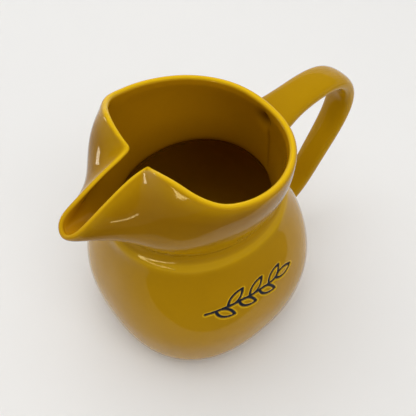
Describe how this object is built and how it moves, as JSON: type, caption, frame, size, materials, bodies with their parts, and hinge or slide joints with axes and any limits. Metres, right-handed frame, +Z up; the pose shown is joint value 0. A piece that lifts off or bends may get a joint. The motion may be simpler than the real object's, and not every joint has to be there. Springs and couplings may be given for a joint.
{
  "type": "ceramic syrup jug",
  "caption": "Round-bellied glazed jug with a folded beak spout, an open mouth and a wide strap handle, for pouring syrup.",
  "frame": {"origin": "centre of the flat base, on the surface that the jug stands on", "axes": "+Z up, -X towards the spout, +X towards the handle, +Y across"},
  "size_m": [0.1894, 0.1252, 0.1438],
  "materials": {
    "glaze": "gloss"
  },
  "bodies": {
    "root": {"jug": "glaze"}
  },
  "joints": []
}
